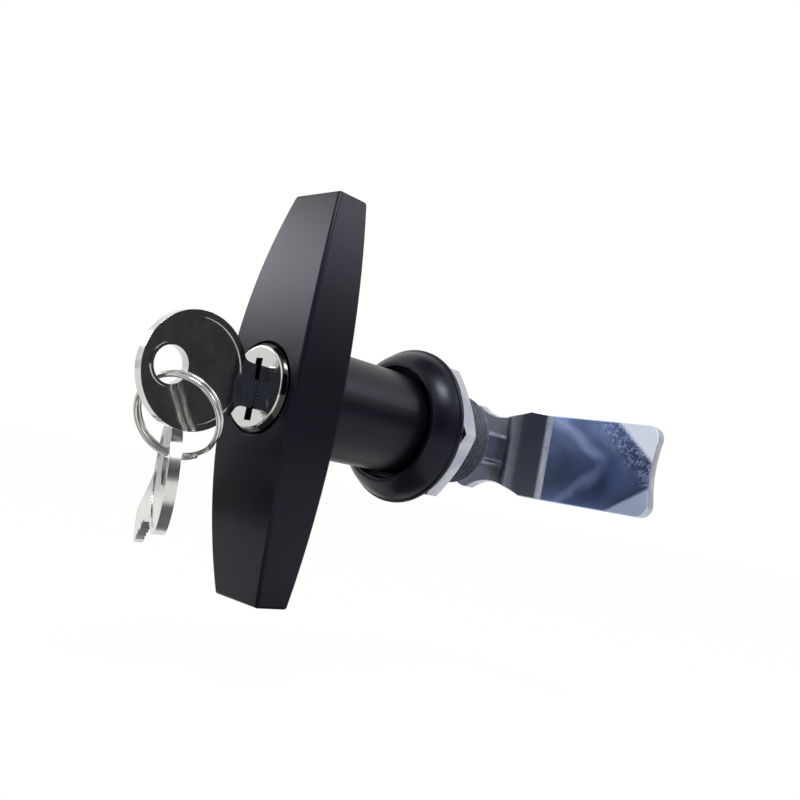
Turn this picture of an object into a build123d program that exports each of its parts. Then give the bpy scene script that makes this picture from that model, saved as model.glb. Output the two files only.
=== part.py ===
from build123d import *
import os
from math import cos, radians, sin, sqrt, tan

os.makedirs("parts", exist_ok=True)

# Millimetres. Y is the lock axis: -Y is the front of the door and +Y the inside of the cabinet.
# Z runs along the T bar and X along the cam. y = 0 is the back of the gasket, the panel seat.

# Clearances
RUN_GAP = 0.1          # round parts that turn in each other, on the radius
PIN_FIT = 0.01         # pins and pressed parts, on the radius
SLIDE_GAP = 0.1        # each side of a part that slides
FACE_GAP = 0.2         # between shoulders that pass each other
YOKE_GAP = 0.15        # drive pin in the notch of the lock bolt
KEYWAY_GAP = 0.2       # above and below the blade
OVER = 1.0             # how far a cutter runs past the surface it opens
NEAR = 0.1             # within this of a place, a corner stands at it
ROUND_MID = 1 - sqrt(0.5)  # corner to the middle of a quarter round, in radii, on each axis

# Collar and barrel, one casting
COLLAR_R = 18.3
COLLAR_RIM = 0.4       # straight edge of the collar
COLLAR_SETBACK = 1.3   # back face to the straight edge
COLLAR_BACK_R = 17.4
COLLAR_HEIGHT = 7.0    # back face to lip
RIM_ROUND = 0.5
DOME_BULGE = 0.55
LIP_WIDTH = 1.1
LIP_ROUND = 0.4
RECESS_GAP = 1.4       # open ring between the lip and the stem
RECESS_DEPTH = 4.5
THREAD_R = 11.0
THREAD_PITCH = 1.5
THREAD_DEPTH = 0.92
THREAD_CREST = 0.19    # flat on the crest and in the root
THREAD_START = 0.4
BARREL_LENGTH = 17.2
BARREL_CHAMFER = 0.8
COUNTERBORE_R = 9.2
COUNTERBORE_DEPTH = 3.7
FLANGE_T = 1.4
GASKET_T = 1.5
GASKET_R = 16.2
GASKET_GAP = 0.1
NUT_FLATS = 30.0
NUT_T = 4.8
NUT_THREAD_GAP = 0.12
NUT_CHAMFER_ANGLE = 30.0

# T bar and stem, one casting
BAR_LENGTH = 86.4
BAR_END_WIDTH = 14.6
BAR_MIDDLE_WIDTH = 24.0
BAR_END_DEPTH = 8.0
BAR_MIDDLE_DEPTH = 13.0
BAR_EDGE_R = 0.8
BAR_STANDOFF = 25.0    # lip of the collar to the back of the bar
STEM_R = 11.7
STEM_ROOT = 0.6        # how far the stem starts inside the bar
HUB_R = 8.4
TAIL_R = 7.0
TAIL_SETBACK = 1.2     # end of the tail inside the barrel
ORING_SETBACK = 3.5    # end of the hub to the middle of the ring
ORING_CORD_R = 0.72
ORING_GROOVE_GAP = 0.04
ORING_GROOVE_SIDE = 0.25
WASHER_T = 0.75
CLIP_T = 1.0
CLIP_R = 8.3
CLIP_GROOVE_DEPTH = 0.8
CLIP_OPENING = 3.2

# Quarter turn stop
TURN_DEG = 90.0
STOP_PIN_R = 0.8
STOP_PIN_AT = 10.3     # radius it stands on
STOP_PIN_DEEP = 3.4    # held in the stem
STOP_SLOT_DEPTH = 1.6
STOP_SLOT_MARGIN_DEG = 2.0

# Spindle
SPINDLE_R = 5.0
SPINDLE_SQUARE = 8.0
SPINDLE_ROOT_Y = 1.0
SPINDLE_ROUND_OUT = 1.8  # round length outside the barrel
CAM_STANDOFF = 12.8      # end of the barrel to the cam
SEAT_SQUARE = 7.0
SEAT_SHORT = 0.3         # the square ends below the back of the cam
CROSS_PIN_R = 1.5
CROSS_PIN_Y = 4.6
CROSS_PIN_SHORT = 0.25

# Cam
CAM_T = 3.0
CAM_WIDTH = 22.0
CAM_TIP_X = 44.9
CAM_TAIL_X = 11.5
CAM_TAIL_ROUND = 6.0
CAM_TIP_ROUND = 3.0
CAM_TIP_HOLLOW = 1.7
CRANK_X = 6.6
CRANK_OFFSET = 7.3
CRANK_DEG = 45.0
BEND_SOFT_R = 4.0
BEND_SHARP_R = 0.8
WAIST_WIDTH = 17.0
WAIST_R = 12.0
WAIST_X = 2.4
CAM_WASHER_R = 4.8
CAM_WASHER_T = 1.0
SPRING_WASHER_R = 4.6
SPRING_WASHER_T = 1.2
SPRING_WASHER_CUT = 0.8
BOLT_R = 2.5
BOLT_LENGTH = 12.0
BOLT_FLATS = 8.0
BOLT_HEAD_T = 3.5
BOLT_HEAD_EDGE = 0.35

# Key plug
PLUG_R = 6.5
PLUG_LENGTH = 27.0     # middle of the bar's front to the back of the plug
PLUG_HEAD_T = 2.0
CAP_R = 9.35
CAP_FACE_R = 8.45
CAP_PROUD = 1.1
CAP_T = 0.8
CAP_SKIRT_Y = 1.5      # below the bar's front
CAP_RING_GAP = 0.45
SLOT_LENGTH = 12.9
SLOT_DROP = 0.5        # the slot sits below the key's middle
SLOT_DEPTH = 2.6
KEYWAY_SHORT = 2.9     # solid back of the plug
PLUG_TAIL_R = 3.5
WAFER_COUNT = 5
WAFER_PITCH = 3.0
WAFER_FIRST = 5.5      # below the bar's front
WAFER_T = 1.2
WAFER_WIDTH = 6.4
WAFER_WINDOW_WIDTH = 3.2
WAFER_SHORT = 0.1      # inside the plug's surface
WAFER_EAR_OUT = 1.8
WAFER_EAR_HEIGHT = 1.2
WAFER_GROOVE_DEPTH = 1.4
SPRING_R = 0.6
SPRING_BORE_R = 0.45
SPRING_LENGTH = 3.0
SLOT_GAP = 0.05        # each side of a wafer
LATCH_FROM_BACK = 1.3
LATCH_WIDTH = 5.0
LATCH_OUT = 0.9        # how far it stands out of the plug
LATCH_BACK_Z = -0.4
LATCH_SPRING_R = 0.55
LATCH_SPRING_BORE_R = 0.3
LATCH_SPRING_LENGTH = 1.9

# Lock bolt
BOLT_TRAVEL = 2.4
LOCK_T = 2.0
LOCK_WIDTH = 5.0
LOCK_IN = 0.2          # tip inside the stem when unlocked
LOCK_BACK = 5.9        # behind the axis when unlocked
LOCK_COVER = 1.0       # wall of the stem behind the bolt
LOCK_POCKET_GAP = 0.3
DRIVE_PIN_R = 1.25
DRIVE_PIN_DEEP = 3.7

# Key
BLADE_T = 2.0
BLADE_HEIGHT = 8.2
BLADE_LENGTH = 28.0
KEY_TIP_GAP = 0.2
TIP_CHAMFER = 2.2
BOW_R = 11.7
BOW_RIM = 1.3
BOW_RIM_T = 2.2
BOW_WEB_T = 1.7
KEY_HOLE_R = 3.7
KEY_HOLE_RIM = 0.55
KEY_HOLE_AT = 5.5      # from the bow's middle
NECK_HEIGHT = 9.0
NECK_LENGTH = 2.6
NECK_ROUND = 2.0
GROOVE_DEPTH = 0.7
GROOVE_HEIGHT = 2.7
GROOVE_START = 0.6
CUT_DEPTHS = (0.9, 1.4, 0.6, 1.2, 0.8)
CUT_FLAT = 1.2

# Split ring and the spare key on it
RING_R = 8.35
RING_WIRE_R = 0.475
RING_PITCH = 1.4
RING_ARCS = 4          # pairs of arcs in each turn
RING_JOG_DEG = 36.0
RING_END_DEG = 300.0
RING_REST = 1.85       # wire's middle above the edge of the key's hole
RING_DROP = (0.013, 0.52, -0.854)
RING_NORMAL = (0.53, -0.73, -0.44)
SPARE_DROP = (-0.340, 0.270, -0.901)
SPARE_REST = 2.62      # hole's middle below the ring's wire
SPARE_FACE = (0.428, 0.902, 0.058)
SPARE_UP = (-0.349, 0.106, 0.931)

# Stations along the axis
collar_back_y = -GASKET_T
rim_back_y = collar_back_y - COLLAR_SETBACK
rim_y = rim_back_y - COLLAR_RIM
lip_y = collar_back_y - COLLAR_HEIGHT
floor_y = lip_y + RECESS_DEPTH
bar_back_y = lip_y - BAR_STANDOFF
bar_end_y = bar_back_y - BAR_END_DEPTH
bar_front_y = bar_back_y - BAR_MIDDLE_DEPTH
stem_end_y = floor_y - FACE_GAP
flange_back_y = BARREL_LENGTH - COUNTERBORE_DEPTH
flange_front_y = flange_back_y - FLANGE_T
hub_end_y = flange_front_y - FACE_GAP
oring_y = hub_end_y - ORING_SETBACK
tail_end_y = BARREL_LENGTH - TAIL_SETBACK
washer_y = flange_back_y + SLOT_GAP
clip_y = washer_y + WASHER_T + SLOT_GAP
cam_y = BARREL_LENGTH + CAM_STANDOFF
cam_back_y = cam_y + CAM_T
cap_face_y = bar_front_y - CAP_PROUD
head_y = cap_face_y + CAP_T
head_back_y = head_y + PLUG_HEAD_T
plug_back_y = bar_front_y + PLUG_LENGTH
keyway_end_y = plug_back_y - KEYWAY_SHORT
latch_y = plug_back_y - LATCH_FROM_BACK
lock_back_y = stem_end_y - LOCK_COVER
lock_front_y = lock_back_y - LOCK_T
key_tip_y = keyway_end_y - KEY_TIP_GAP
bow_y = key_tip_y - BLADE_LENGTH - BOW_R
key_hole_y = bow_y - KEY_HOLE_AT
wafer_ys = [bar_front_y + WAFER_FIRST + i * WAFER_PITCH for i in range(WAFER_COUNT)]

# Radii that follow from the ones above
recess_r = STEM_R + RECESS_GAP
lip_r = recess_r + LIP_WIDTH
relief_r = THREAD_R - THREAD_DEPTH
hub_bore_r = HUB_R + RUN_GAP
tail_bore_r = TAIL_R + RUN_GAP
clip_groove_r = TAIL_R - CLIP_GROOVE_DEPTH
cap_well_r = CAP_R + CAP_RING_GAP
head_r = CAP_R - CAP_T
plug_bore_r = PLUG_R + SLOT_GAP
wafer_r = PLUG_R - WAFER_SHORT
crank_offset_back = CAM_T * tan(radians(CRANK_DEG / 2))
crank_run = CRANK_OFFSET / tan(radians(CRANK_DEG))
drive_throw = BOLT_TRAVEL / sqrt(2.0)
lock_tip_x = STEM_R - LOCK_IN
ring_top = Vector(0, key_hole_y, -(KEY_HOLE_R - RING_REST))
ring_centre = ring_top + Vector(*RING_DROP).normalized() * RING_R
spare_hole = ring_centre + Vector(*SPARE_DROP).normalized() * (RING_R + SPARE_REST)


def outline(start, *steps):
    """A closed face in XY. A step is the next point, or a pair: a point on an arc and its end."""
    edges = []
    here = start
    for step in steps + (start,):
        if isinstance(step[0], tuple):
            edges.append(ThreePointArc(here, step[0], step[1]))
            here = step[1]
        elif step != here:
            edges.append(Line(here, step))
            here = step
    return make_face(edges)


def turned(start, *steps):
    """A body turned about the lock axis, from (radius, y) steps."""
    return revolve(outline(start, *steps), Axis.Y)


def rod(radius, y0, y1, x=0.0, z=0.0):
    """A cylinder along Y."""
    return Pos(x, (y0 + y1) / 2, z) * Rot(90, 0, 0) * Cylinder(radius, y1 - y0)


def tube(radius, bore, y0, y1):
    return rod(radius, y0, y1) - rod(bore, y0 - OVER, y1 + OVER)


def block(x0, x1, y0, y1, z0, z1):
    return Pos((x0 + x1) / 2, (y0 + y1) / 2, (z0 + z1) / 2) * Box(x1 - x0, y1 - y0, z1 - z0)


def hexagon(flats, y0, y1):
    """A hexagonal bar along Y with one corner towards +X."""
    corner = flats / 2 / cos(radians(30))
    face = RegularPolygon(corner, 6)
    return extrude(Plane.XZ.offset(-y1) * face, y1 - y0)


def square_bar(size, corner_r, y0, y1):
    """A square bar along Y whose corners are turned off."""
    h = size / 2
    return block(-h, h, y0, y1, -h, h) & rod(corner_r, y0, y1)


def arc_middle(p, q, bulge):
    """The middle of a flat arc from p to q that stands out to the right of the way."""
    dx, dy = q[0] - p[0], q[1] - p[1]
    length = sqrt(dx * dx + dy * dy)
    return (p[0] + q[0]) / 2 + bulge * dy / length, (p[1] + q[1]) / 2 - bulge * dx / length


def thread_steps(crest, root, y0, y1):
    """Ring grooves of a metric profile from y0 to y1, as (radius, y) points."""
    flank = (THREAD_PITCH - 2 * THREAD_CREST) / 2
    points = []
    y = y0
    while y + THREAD_PITCH <= y1:
        points += [(root, y), (crest, y + flank), (crest, y + flank + THREAD_CREST)]
        points += [(root, y + 2 * flank + THREAD_CREST)]
        y += THREAD_PITCH
    return points


def on_stem(radius, angle_deg):
    """A point on the stem, measured from +X towards -Z, the way the handle turns."""
    return radius * cos(radians(angle_deg)), -radius * sin(radians(angle_deg))


def make_housing():
    """Collar, barrel and inner flange, with the stop slot and the two pockets of the lock bolt."""
    lip_start = (lip_r, lip_y)
    dome_end = (COLLAR_R - RIM_ROUND, rim_y - RIM_ROUND)
    rim_top = (COLLAR_R, rim_y)
    lip_mid = (recess_r + LIP_ROUND * ROUND_MID, lip_y + LIP_ROUND * ROUND_MID)
    rim_mid = (COLLAR_R - RIM_ROUND * ROUND_MID, rim_y - RIM_ROUND * (1 - ROUND_MID))
    grooves = thread_steps(THREAD_R, relief_r, THREAD_START, BARREL_LENGTH - BARREL_CHAMFER)
    body = turned(
        (recess_r, floor_y), (recess_r, lip_y + LIP_ROUND),
        (lip_mid, (recess_r + LIP_ROUND, lip_y)), lip_start,
        (arc_middle(lip_start, dome_end, DOME_BULGE), dome_end), (rim_mid, rim_top),
        (COLLAR_R, rim_back_y), (COLLAR_BACK_R, collar_back_y), (relief_r, collar_back_y), *grooves,
        (relief_r, BARREL_LENGTH),
        (COUNTERBORE_R, BARREL_LENGTH), (COUNTERBORE_R, flange_back_y),
        (tail_bore_r, flange_back_y), (tail_bore_r, flange_front_y),
        (hub_bore_r, flange_front_y), (hub_bore_r, floor_y))
    slot_r0 = STOP_PIN_AT - STOP_PIN_R - RUN_GAP
    slot_r1 = STOP_PIN_AT + STOP_PIN_R + RUN_GAP
    face = outline((slot_r0, floor_y - OVER), (slot_r1, floor_y - OVER),
                   (slot_r1, floor_y + STOP_SLOT_DEPTH), (slot_r0, floor_y + STOP_SLOT_DEPTH))
    start = Rot(0, 180 - STOP_SLOT_MARGIN_DEG, 0) * face
    body -= revolve(start, Axis.Y, TURN_DEG + 2 * STOP_SLOT_MARGIN_DEG)
    for angle in (180.0, 180.0 + TURN_DEG):
        x, z = on_stem(STOP_PIN_AT, angle)
        body -= rod(STOP_PIN_R + RUN_GAP, floor_y - OVER, floor_y + STOP_SLOT_DEPTH, x, z)
    reach = lock_tip_x + BOLT_TRAVEL + LOCK_POCKET_GAP
    half = LOCK_WIDTH / 2 + LOCK_POCKET_GAP
    pocket = block(STEM_R, reach, lock_front_y - LOCK_POCKET_GAP, floor_y, -half, half)
    for angle in (0.0, TURN_DEG):
        body -= Rot(0, angle, 0) * pocket
    return body


def make_gasket():
    return tube(GASKET_R, THREAD_R + GASKET_GAP, collar_back_y, 0.0)


def make_nut():
    """Hexagon nut, chamfered at the back, its thread in step with the barrel's."""
    body = hexagon(NUT_FLATS, 0.0, NUT_T)
    corner = NUT_FLATS / 2 / cos(radians(30))
    flat_r = NUT_FLATS / 2
    fall = (corner + OVER - flat_r) * tan(radians(NUT_CHAMFER_ANGLE))
    body &= turned((0, 0), (corner + OVER, 0), (corner + OVER, NUT_T - fall), (flat_r, NUT_T), (0, NUT_T))
    crest = THREAD_R + NUT_THREAD_GAP
    root = relief_r + NUT_THREAD_GAP
    grooves = thread_steps(crest, root, THREAD_START, NUT_T + THREAD_PITCH)
    last = grooves[-1][1]
    return body - turned((0, -OVER), (root, -OVER), *grooves, (root, last + OVER), (0, last + OVER))


def make_bar():
    """The T bar: boat shaped from the front, arched from the side."""
    z = BAR_LENGTH / 2
    w0, w1 = BAR_END_WIDTH / 2, BAR_MIDDLE_WIDTH / 2
    front = outline((-w0, -z), (w0, -z), ((w1, 0), (w0, z)), (-w0, z), ((-w1, 0), (-w0, -z)))
    front_prism = extrude(Plane.XZ.offset(-bar_back_y) * front, -bar_front_y + bar_back_y)
    side = make_face([
        Line((bar_back_y, -z), (bar_end_y, -z)),
        ThreePointArc((bar_end_y, -z), (bar_front_y, 0), (bar_end_y, z)),
        Line((bar_end_y, z), (bar_back_y, z)),
        Line((bar_back_y, z), (bar_back_y, -z))])
    side_prism = extrude(Plane.YZ * side, BAR_MIDDLE_WIDTH, both=True)
    bar = front_prism & side_prism
    return fillet(bar.edges(), BAR_EDGE_R)


def make_handle():
    """T bar, stem and hub, bored for the plug, the lock bolt, the spindle and their seals."""
    body = make_bar() + rod(STEM_R, bar_back_y - STEM_ROOT, stem_end_y)
    body += turned((0, stem_end_y - OVER), (HUB_R, stem_end_y - OVER), (HUB_R, hub_end_y), (TAIL_R, hub_end_y),
                   (TAIL_R, tail_end_y), (0, tail_end_y))
    # plug bore with its well, wafer grooves and latch groove
    bore_end_y = plug_back_y + FACE_GAP
    body -= rod(cap_well_r, cap_face_y - OVER, head_back_y + SLIDE_GAP)
    body -= rod(plug_bore_r, bar_front_y, bore_end_y)
    half = WAFER_WIDTH / 2 + SLIDE_GAP
    deep = PLUG_R + WAFER_GROOVE_DEPTH
    groove_y0 = wafer_ys[0] - WAFER_T
    groove_y1 = wafer_ys[-1] + WAFER_T
    body -= block(-half, half, groove_y0, groove_y1, -deep, deep) & rod(deep, groove_y0, groove_y1)
    latch_r = PLUG_R + LATCH_OUT + LOCK_POCKET_GAP
    latch_half = WAFER_T / 2 + SLIDE_GAP
    body -= rod(latch_r, latch_y - latch_half, latch_y + latch_half)
    # tail bore and the channel of the lock bolt
    channel_y0 = lock_front_y - SLIDE_GAP
    channel_y1 = lock_back_y + SLIDE_GAP
    body -= rod(PLUG_TAIL_R + SLOT_GAP, bore_end_y - OVER, channel_y1)
    half = LOCK_WIDTH / 2 + SLIDE_GAP
    body -= block(-LOCK_BACK - LOCK_POCKET_GAP, STEM_R + OVER, channel_y0, channel_y1, -half, half)
    # stop pin, spindle and cross pin
    body -= rod(STOP_PIN_R + PIN_FIT, stem_end_y - STOP_PIN_DEEP, stem_end_y + OVER, -STOP_PIN_AT)
    body -= rod(SPINDLE_R + PIN_FIT, SPINDLE_ROOT_Y - FACE_GAP, tail_end_y + OVER)
    body -= Pos(0, CROSS_PIN_Y, 0) * Cylinder(CROSS_PIN_R + PIN_FIT, 2 * (HUB_R + OVER))
    # O-ring groove and clip groove
    groove_half = ORING_CORD_R + ORING_GROOVE_SIDE
    groove_r = hub_bore_r - SLOT_GAP - 2 * ORING_CORD_R - ORING_GROOVE_GAP
    body -= tube(HUB_R + OVER, groove_r, oring_y - groove_half, oring_y + groove_half)
    body -= tube(TAIL_R + OVER, clip_groove_r, clip_y - SLOT_GAP / 2, clip_y + CLIP_T + SLOT_GAP)
    return body


def make_stop_pin():
    return rod(STOP_PIN_R, stem_end_y - STOP_PIN_DEEP, floor_y + STOP_SLOT_DEPTH - FACE_GAP, -STOP_PIN_AT)


def make_oring():
    radius = hub_bore_r - SLOT_GAP - ORING_CORD_R
    return Pos(0, oring_y, 0) * Rot(90, 0, 0) * Torus(radius, ORING_CORD_R)


def make_washer():
    return tube(COUNTERBORE_R - RUN_GAP, TAIL_R + PIN_FIT, washer_y, washer_y + WASHER_T)


def make_clip():
    """Open retaining ring in the groove of the tail."""
    ring = tube(CLIP_R, clip_groove_r + PIN_FIT, clip_y, clip_y + CLIP_T)
    half = CLIP_OPENING / 2
    ring -= block(-half, half, clip_y - OVER, clip_y + CLIP_T + OVER, 0, CLIP_R + OVER)
    return ring


def make_spindle():
    """Round root pinned in the hub, square shank, and the smaller square that carries the cam."""
    square_y = BARREL_LENGTH + SPINDLE_ROUND_OUT
    body = rod(SPINDLE_R, SPINDLE_ROOT_Y, square_y)
    body += square_bar(SPINDLE_SQUARE, SPINDLE_R, square_y - SLIDE_GAP, cam_y)
    seat_r = SEAT_SQUARE / sqrt(2.0) - SEAT_SHORT
    body += square_bar(SEAT_SQUARE, seat_r, cam_y - SLIDE_GAP, cam_back_y - SEAT_SHORT)
    hole_end = cam_back_y + CAM_WASHER_T + SPRING_WASHER_T - BOLT_LENGTH - OVER
    body -= rod(BOLT_R + PIN_FIT, hole_end, cam_back_y)
    body -= Pos(0, CROSS_PIN_Y, 0) * Cylinder(CROSS_PIN_R + PIN_FIT, 2 * HUB_R)
    return body


def make_cross_pin():
    return Pos(0, CROSS_PIN_Y, 0) * Cylinder(CROSS_PIN_R, 2 * (HUB_R - CROSS_PIN_SHORT))


def make_cam():
    """Pressed plate with two bends, waisted at the spindle and hollow at its end."""
    x1 = CRANK_X + crank_run
    y1 = cam_y + CRANK_OFFSET
    tip = CAM_TIP_X + OVER
    tail = -CAM_TAIL_X
    path = FilletPolyline(
        (tail, cam_y), (CRANK_X, cam_y), (x1, y1), (tip, y1), (tip, y1 + CAM_T),
        (x1 - crank_offset_back, y1 + CAM_T), (CRANK_X - crank_offset_back, cam_back_y), (tail, cam_back_y),
        radius=[0, BEND_SOFT_R, BEND_SHARP_R, 0, 0, BEND_SHARP_R + CAM_T, BEND_SOFT_R - CAM_T, 0],
        close=True)
    plate = extrude(make_face(path), CAM_WIDTH / 2, both=True)
    w = CAM_WIDTH / 2
    plan = outline((tail, -w), (CAM_TIP_X, -w), ((CAM_TIP_X - CAM_TIP_HOLLOW, 0), (CAM_TIP_X, w)), (tail, w))
    corners = plan.vertices()
    plan = fillet([v for v in corners if v.X > 0], CAM_TIP_ROUND)
    plan = fillet([v for v in plan.vertices() if v.X < tail + NEAR], CAM_TAIL_ROUND)
    for side in (-1, 1):
        plan -= Pos(WAIST_X, side * (WAIST_WIDTH / 2 + WAIST_R)) * Circle(WAIST_R)
    plate &= extrude(Plane.XZ.offset(-y1 - CAM_T - OVER) * plan, CRANK_OFFSET + CAM_T + 2 * OVER)
    hole = SEAT_SQUARE / 2 + SLOT_GAP
    return plate - block(-hole, hole, cam_y - OVER, cam_back_y + OVER, -hole, hole)


def make_cam_washer():
    return tube(CAM_WASHER_R, BOLT_R + RUN_GAP, cam_back_y, cam_back_y + CAM_WASHER_T)


def make_spring_washer():
    y0 = cam_back_y + CAM_WASHER_T
    ring = tube(SPRING_WASHER_R, BOLT_R + RUN_GAP, y0, y0 + SPRING_WASHER_T)
    half = SPRING_WASHER_CUT / 2
    cut = block(0, SPRING_WASHER_R + OVER, y0 - OVER, y0 + SPRING_WASHER_T + OVER, -half, half)
    return ring - cut


def make_cam_bolt():
    y0 = cam_back_y + CAM_WASHER_T + SPRING_WASHER_T
    y1 = y0 + BOLT_HEAD_T
    corner = BOLT_FLATS / 2 / cos(radians(30))
    head = hexagon(BOLT_FLATS, y0, y1)
    flat_r = BOLT_FLATS / 2
    head &= turned((0, y0), (corner + OVER, y0), (corner + OVER, y1 - BOLT_HEAD_EDGE - OVER),
                   (corner, y1 - BOLT_HEAD_EDGE), (flat_r, y1), (0, y1))
    return head + rod(BOLT_R, y0 - BOLT_LENGTH, y0)


def make_cap():
    """Bright cup over the plug's head, with the key slot."""
    skirt_y = bar_front_y + CAP_SKIRT_Y
    body = turned((0, cap_face_y), (CAP_FACE_R, cap_face_y), (CAP_R, bar_front_y), (CAP_R, skirt_y),
                  (head_r + PIN_FIT, skirt_y), (head_r + PIN_FIT, head_y), (0, head_y))
    half = BLADE_T / 2 + SLIDE_GAP
    return body - block(-half, half, cap_face_y - OVER, head_y + OVER, *slot_range())


def slot_range():
    """Lower and upper end of the key slot."""
    return -SLOT_LENGTH / 2 - SLOT_DROP, SLOT_LENGTH / 2 - SLOT_DROP


def make_plug():
    """Cylinder with a keyway, five wafer slots with spring pockets, a latch slot and a tail."""
    half = BLADE_T / 2 + SLIDE_GAP
    high = BLADE_HEIGHT / 2 + KEYWAY_GAP
    body = rod(head_r, head_y, head_back_y) + rod(PLUG_R, head_y, plug_back_y)
    body += rod(PLUG_TAIL_R, plug_back_y - OVER, lock_front_y - FACE_GAP)
    body -= block(-half, half, head_y - OVER, keyway_end_y, -high, high)
    body -= block(-half, half, head_y - OVER, cap_face_y + SLOT_DEPTH, *slot_range())
    slot_t = WAFER_T / 2 + SLOT_GAP
    slot_x = WAFER_WIDTH / 2 + SLOT_GAP
    ear_x = WAFER_WIDTH / 2 + WAFER_EAR_OUT + SLIDE_GAP
    for y in wafer_ys:
        body -= block(-slot_x, slot_x, y - slot_t, y + slot_t, -PLUG_R - OVER, PLUG_R + OVER)
        low = -(WAFER_EAR_HEIGHT / 2 + SPRING_LENGTH + 2 * SLOT_GAP)
        pocket = block(0, ear_x, y - slot_t, y + slot_t, low, WAFER_EAR_HEIGHT)
        spring = Pos(spring_x(), y, low / 2) * Cylinder(SPRING_R + SLOT_GAP, -low)
        body -= pocket + spring
    slot_x = LATCH_WIDTH / 2 + SLOT_GAP
    low = LATCH_BACK_Z - LATCH_SPRING_LENGTH - 2 * SLOT_GAP
    body -= block(-slot_x, slot_x, latch_y - slot_t, latch_y + slot_t, low, PLUG_R + OVER)
    x, z = drive_pin_place()
    y0 = lock_front_y - FACE_GAP - DRIVE_PIN_DEEP
    return body - rod(DRIVE_PIN_R + PIN_FIT, y0, lock_front_y, x, z)


def spring_x():
    """Where a wafer's spring stands, under the ear."""
    return WAFER_WIDTH / 2 + WAFER_EAR_OUT / 2


def make_wafers():
    """Five flat wafers, each with a window for the blade and an ear for its spring."""
    wafers = []
    for y in wafer_ys:
        y0, y1 = y - WAFER_T / 2, y + WAFER_T / 2
        half = WAFER_WIDTH / 2
        plate = block(-half, half, y0, y1, -PLUG_R, PLUG_R) & rod(wafer_r, y0, y1)
        plate += block(0, half + WAFER_EAR_OUT, y0, y1, -WAFER_EAR_HEIGHT / 2, WAFER_EAR_HEIGHT / 2)
        window_x = WAFER_WINDOW_WIDTH / 2
        window_z = BLADE_HEIGHT / 2 + KEYWAY_GAP
        wafers.append(plate - block(-window_x, window_x, y0 - OVER, y1 + OVER, -window_z, window_z))
    return wafers


def spring_sleeve(radius, bore, length, x, y, top):
    """A coil spring as the plain sleeve it fills, standing along Z."""
    return Pos(x, y, top - length / 2) * (Cylinder(radius, length) - Cylinder(bore, length + OVER))


def make_wafer_springs():
    top = -WAFER_EAR_HEIGHT / 2 - SLOT_GAP
    return [spring_sleeve(SPRING_R, SPRING_BORE_R, SPRING_LENGTH, spring_x(), y, top) for y in wafer_ys]


def make_latch():
    """Plate that springs into the groove of the stem and keeps the plug in."""
    y0, y1 = latch_y - WAFER_T / 2, latch_y + WAFER_T / 2
    reach = PLUG_R + LATCH_OUT
    half = LATCH_WIDTH / 2
    return block(-half, half, y0, y1, LATCH_BACK_Z, reach) & rod(reach, y0, y1)


def make_latch_spring():
    top = LATCH_BACK_Z - SLOT_GAP
    return spring_sleeve(LATCH_SPRING_R, LATCH_SPRING_BORE_R, LATCH_SPRING_LENGTH, 0, latch_y, top)


def drive_pin_place():
    """Off centre, so that a quarter turn of the key moves the bolt by its travel."""
    return -drive_throw * sin(radians(TURN_DEG / 2)), drive_throw * cos(radians(TURN_DEG / 2))


def make_drive_pin():
    x, z = drive_pin_place()
    y0 = lock_front_y - FACE_GAP - DRIVE_PIN_DEEP
    return rod(DRIVE_PIN_R, y0, lock_back_y - SLIDE_GAP, x, z)


def make_lock_bolt():
    """Flat bolt with a side notch for the drive pin and a rounded tip."""
    x, z = drive_pin_place()
    half = LOCK_WIDTH / 2
    body = block(-LOCK_BACK, lock_tip_x, lock_front_y, lock_back_y, -half, half)
    body &= rod(lock_tip_x, lock_front_y, lock_back_y)
    reach = DRIVE_PIN_R + YOKE_GAP
    return body - block(x - reach, x + reach, lock_front_y - OVER, lock_back_y + OVER, z - reach, half + OVER)


def key_blank():
    """Bow, neck and blade in the plane of the key, with the key ring hole at the origin."""
    edge = KEY_HOLE_AT + BOW_R
    tip = edge + BLADE_LENGTH
    h = BLADE_HEIGHT / 2
    neck_end = edge + NECK_LENGTH
    flat = Pos(KEY_HOLE_AT, 0) * Circle(BOW_R)
    flat += Pos((KEY_HOLE_AT + neck_end) / 2, 0) * Rectangle(neck_end - KEY_HOLE_AT, NECK_HEIGHT)
    meet = KEY_HOLE_AT + sqrt(BOW_R ** 2 - (NECK_HEIGHT / 2) ** 2)
    flat = fillet([v for v in flat.vertices() if abs(v.X - meet) < NEAR], NECK_ROUND)
    blade = Polyline((KEY_HOLE_AT, -h), (tip - TIP_CHAMFER, -h), (tip, -h + TIP_CHAMFER),
                     (tip, h - TIP_CHAMFER / 2), (tip - TIP_CHAMFER / 2, h), (KEY_HOLE_AT, h), close=True)
    flat += make_face(blade)
    return flat - Circle(KEY_HOLE_R)


def key_cuts():
    """V cuts in the lower edge of the blade, one under each wafer."""
    cuts = Sketch()
    for y, depth in zip(wafer_ys, CUT_DEPTHS):
        at = y - key_hole_y
        low = -BLADE_HEIGHT / 2
        top = low + depth
        wide = CUT_FLAT / 2 + depth + OVER
        cuts += make_face(Polyline((at - wide, low - OVER), (at - CUT_FLAT / 2, top), (at + CUT_FLAT / 2, top),
                                   (at + wide, low - OVER), close=True))
    return cuts


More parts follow.
